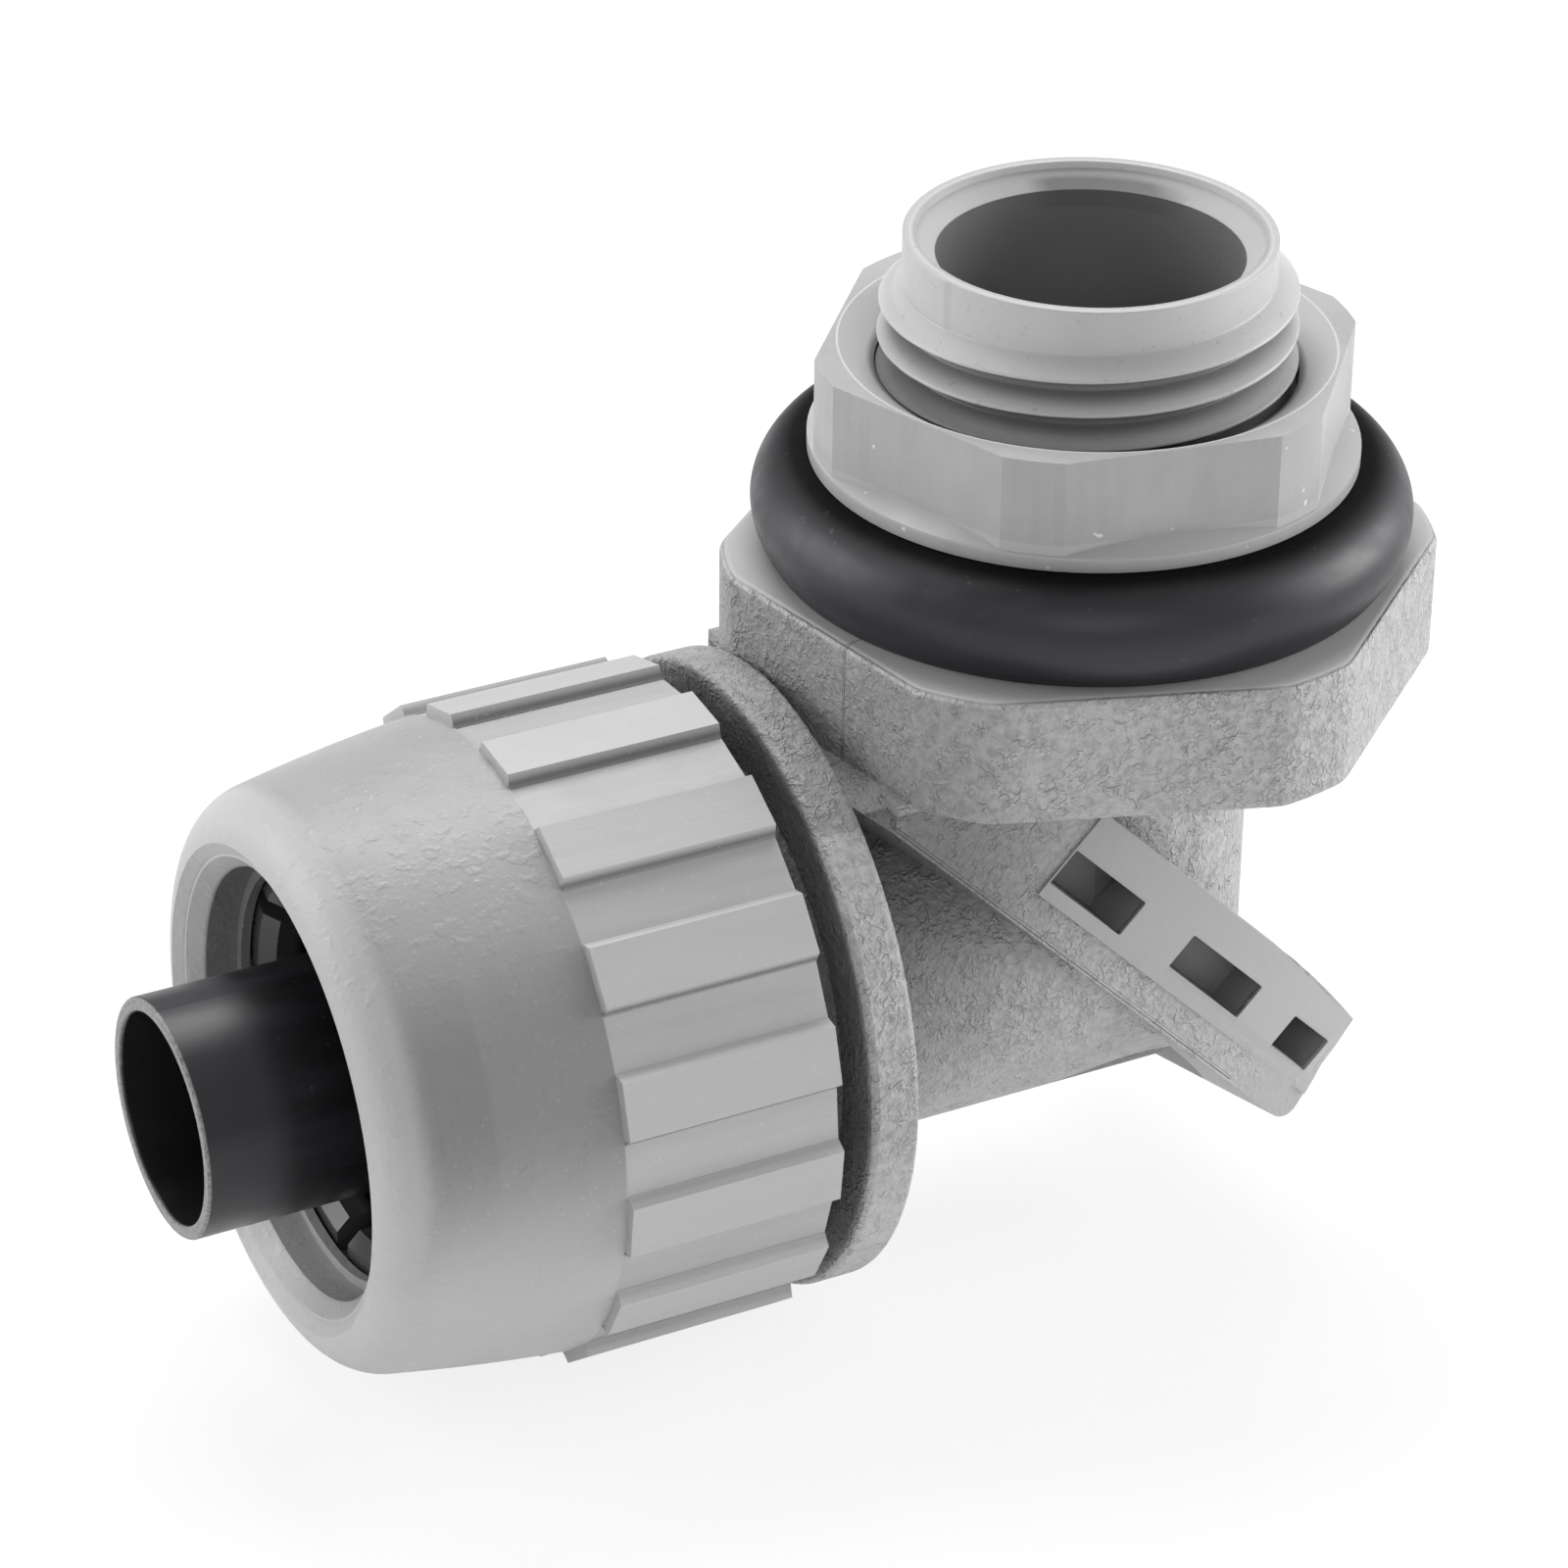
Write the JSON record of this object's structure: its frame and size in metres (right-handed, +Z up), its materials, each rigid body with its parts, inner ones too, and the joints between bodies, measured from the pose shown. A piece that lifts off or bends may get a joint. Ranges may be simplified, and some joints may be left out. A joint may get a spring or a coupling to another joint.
{
  "type": "liquidtight conduit connector",
  "caption": "Ninety degree plastic liquidtight conduit connector with compression nut, grip ring, ferrule, sealing ring and hub locknut.",
  "frame": {"origin": "centre of the hub at the sealing face of the flange", "axes": "+Z up the hub axis, away from the flange; the conduit enters along the row's -X side"},
  "size_m": [0.0692, 0.0366, 0.0545],
  "materials": {
    "body_plastic": "spark-eroded grain",
    "nut_plastic": "satin",
    "locknut_plastic": "satin",
    "ferrule_plastic": "semi-gloss",
    "ring_plastic": "gloss",
    "seal_rubber": "smooth"
  },
  "bodies": {
    "body": {"elbow_body": "body_plastic", "ferrule": "ferrule_plastic"},
    "ring": {"grip_ring": "ring_plastic"},
    "nut": {"conduit_nut": "nut_plastic"},
    "seal": {"sealing_ring": "seal_rubber"},
    "lock": {"locknut": "locknut_plastic"}
  },
  "joints": [
    {"name": "ring_slide", "type": "slide", "parent": "body", "child": "ring", "axis": [1, 0, 0], "range_m": [-0.00805, 0.00155]},
    {"name": "nut_turn", "type": "hinge", "parent": "ring", "child": "nut", "pos_m": [-0.03, 0, -0.0204], "axis": [1, 0, 0], "range_deg": [-1440, 270]},
    {"name": "seal_lift", "type": "slide", "parent": "body", "child": "seal", "axis": [0, 0, 1], "range_m": [0, 0.00545]},
    {"name": "locknut_turn", "type": "hinge", "parent": "seal", "child": "lock", "pos_m": [0, 0, 0.008], "axis": [0, 0, 1], "range_deg": [0, 1080]}
  ],
  "couplings": [
    {"joint": "ring_slide", "follows": "nut_turn", "m_per_rad": 0.00031831},
    {"joint": "seal_lift", "follows": "locknut_turn", "m_per_rad": 0.00028871}
  ]
}
